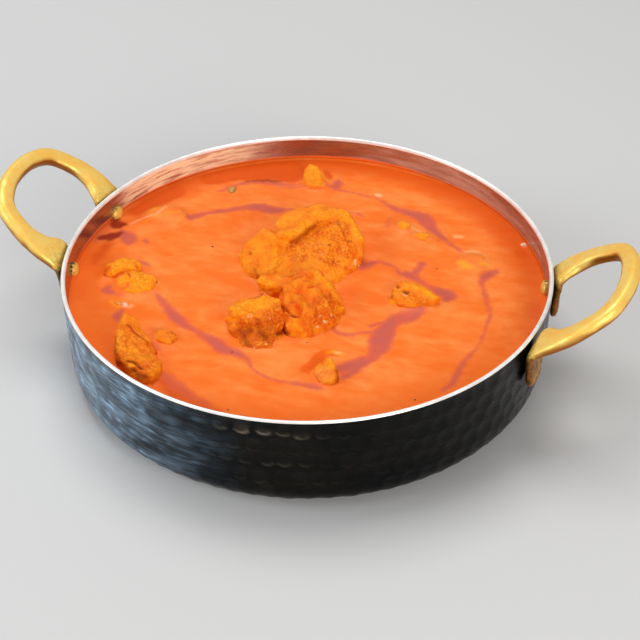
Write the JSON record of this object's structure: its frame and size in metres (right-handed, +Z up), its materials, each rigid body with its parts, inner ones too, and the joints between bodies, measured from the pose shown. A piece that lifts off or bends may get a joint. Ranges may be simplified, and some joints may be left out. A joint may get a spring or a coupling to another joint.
{
  "type": "lamb rogan josh in a two-handled metal serving pan",
  "caption": "Lamb curry in a round hammered pan with a flat base and a raised loop handle riveted on each side; meat stands out of the gravy.",
  "frame": {"origin": "centre of the flat base that the pan stands on", "axes": "+Z up along the pan's axis, +X towards one handle, so both handles lie along X"},
  "size_m": [0.2116, 0.16, 0.0538],
  "materials": {
    "steel": "dark hammered outside, polished inside and on the rim",
    "brass": "cast, worn to a soft polish",
    "gravy": "smooth orange gravy with streaks of dark red oil, wet and glossy",
    "lamb": "cooked meat coated in gravy, fibrous with wet highlights"
  },
  "bodies": {
    "root": {"pan": "steel", "handle_left": "brass", "handle_right": "brass", "rivet_1": "brass", "rivet_2": "brass", "rivet_3": "brass", "rivet_4": "brass", "gravy": "gravy", "lamb_back": "lamb", "lamb_front_right": "lamb", "lamb_front_left": "lamb", "lamb_near_rim": "lamb", "lamb_left": "lamb", "lamb_small": "lamb", "lamb_right": "lamb", "lamb_far_tip": "lamb", "lamb_front_flake": "lamb", "lamb_nub": "lamb", "lamb_back_flake": "lamb", "lamb_sunk_right": "lamb", "lamb_sunk_left": "lamb"}
  },
  "joints": []
}
